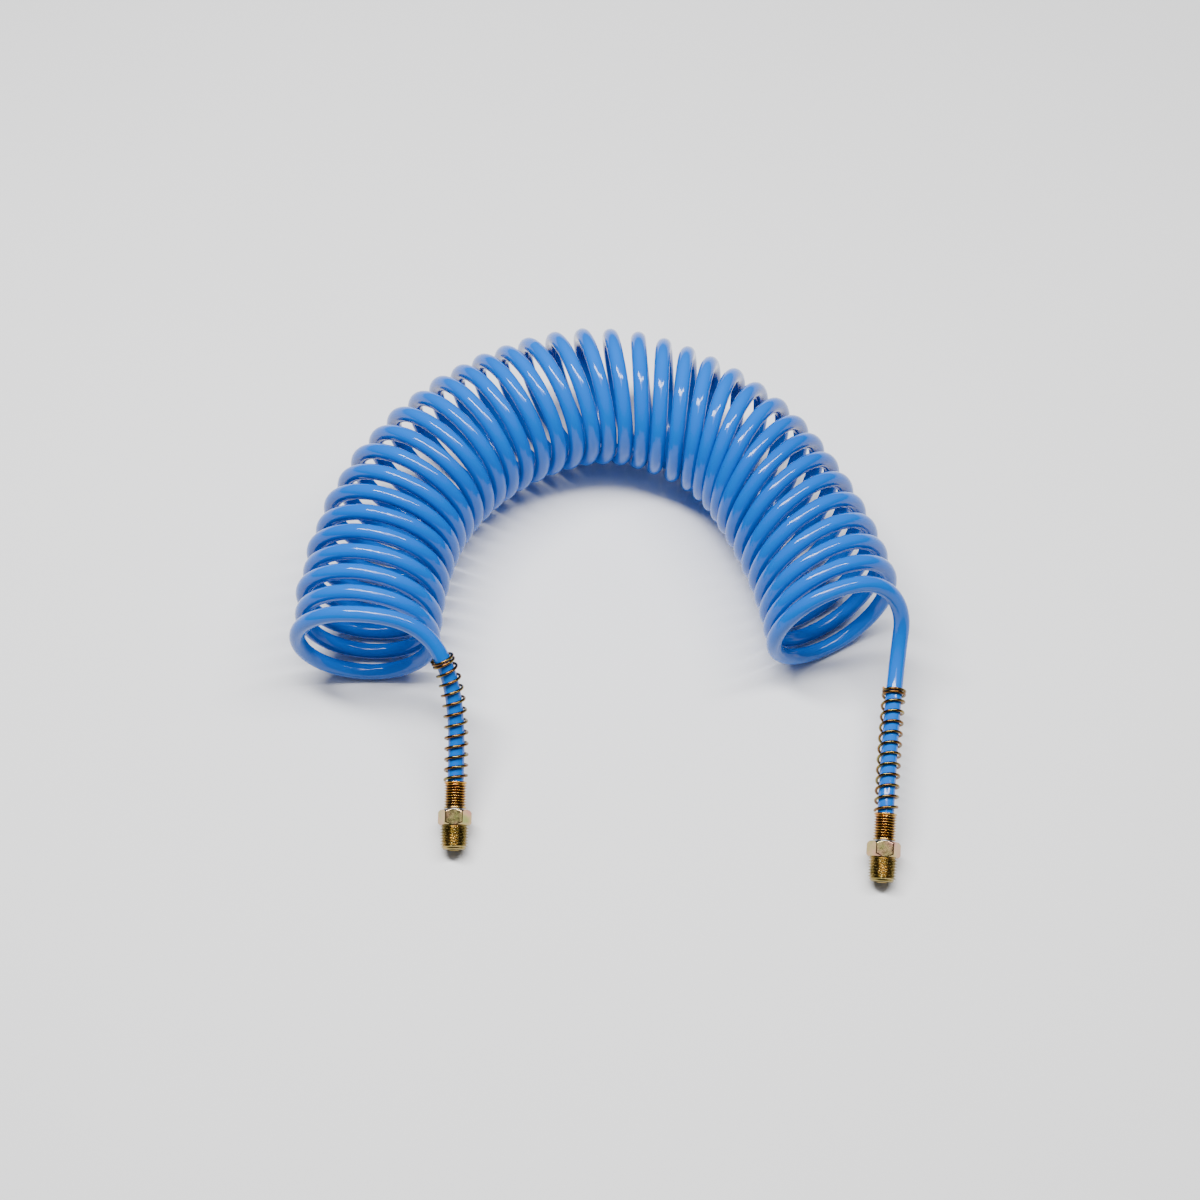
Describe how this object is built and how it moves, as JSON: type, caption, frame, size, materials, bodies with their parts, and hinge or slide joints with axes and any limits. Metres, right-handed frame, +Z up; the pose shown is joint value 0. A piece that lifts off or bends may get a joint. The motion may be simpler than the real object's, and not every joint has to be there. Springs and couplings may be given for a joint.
{
  "type": "coiled air hose",
  "caption": "Recoil air hose: a plastic tube wound into a coil bent to an arch, with a wire spring guard, crimped ferrule and swivel taper-thread nipple on each tail.",
  "frame": {"origin": "centre of the whole object's outline in plan, on the surface that it lies on", "axes": "+Z up from the surface; the coil arches towards +Y and both tails point towards -Y; +X from the left tail to the right tail"},
  "size_m": [0.3046, 0.3034, 0.0736],
  "materials": {
    "hose": "gloss polyurethane",
    "spring_wire": "yellow zinc-plated spring steel",
    "ferrule": "yellow zinc-plated, crimped",
    "nipple": "yellow zinc-plated, machined",
    "stem": "machined",
    "washer": "plain",
    "spring_steel": "spring steel",
    "seal": "nitrile rubber"
  },
  "bodies": {
    "crown": {"coil_crown": "hose"},
    "coil_left": {"coil_left_leg": "hose", "coil_left_shoulder": "hose"},
    "coil_right": {"coil_right_shoulder": "hose", "coil_right_leg": "hose"},
    "left_tail": {"left_tail_tube": "hose", "left_spring_guard": "spring_wire", "left_ferrule": "ferrule", "left_barbed_stem": "stem", "left_thrust_washer": "washer", "left_retaining_ring": "spring_steel", "left_o_ring": "seal"},
    "left_nipple": {"left_threaded_nipple": "nipple"},
    "right_tail": {"right_tail_tube": "hose", "right_spring_guard": "spring_wire", "right_ferrule": "ferrule", "right_barbed_stem": "stem", "right_thrust_washer": "washer", "right_retaining_ring": "spring_steel", "right_o_ring": "seal"},
    "right_nipple": {"right_threaded_nipple": "nipple"}
  },
  "joints": [
    {"name": "coil_swing", "type": "hinge", "parent": "crown", "child": "coil_left", "pos_m": [-0.01394, 0.07618, 0.0368], "axis": [0, 0, -1], "range_deg": [0, 12], "stiffness_Nm_per_rad": 0.2},
    {"name": "coil_stretch", "type": "slide", "parent": "crown", "child": "coil_right", "axis": [0.9367, -0.3502, 0], "range_m": [0, 0.03], "stiffness_N_per_m": 30},
    {"name": "left_tail_flex", "type": "hinge", "parent": "coil_left", "child": "left_tail", "pos_m": [-0.0783, -0.0501, 0.0527], "axis": [0, 0, 1], "range_deg": [-10, 10], "stiffness_Nm_per_rad": 0.3},
    {"name": "left_swivel", "type": "hinge", "parent": "left_tail", "child": "left_nipple", "pos_m": [-0.0702, -0.1021, 0.0173], "axis": [-0.0115, -0.9396, -0.342], "continuous": true},
    {"name": "right_tail_flex", "type": "hinge", "parent": "coil_right", "child": "right_tail", "pos_m": [0.1477, -0.0291, 0.0364], "axis": [0, 0, 1], "range_deg": [-10, 10], "stiffness_Nm_per_rad": 0.3},
    {"name": "right_swivel", "type": "hinge", "parent": "right_tail", "child": "right_nipple", "pos_m": [0.136, -0.1189, 0.0173], "axis": [-0.0852, -0.9358, -0.342], "continuous": true}
  ]
}
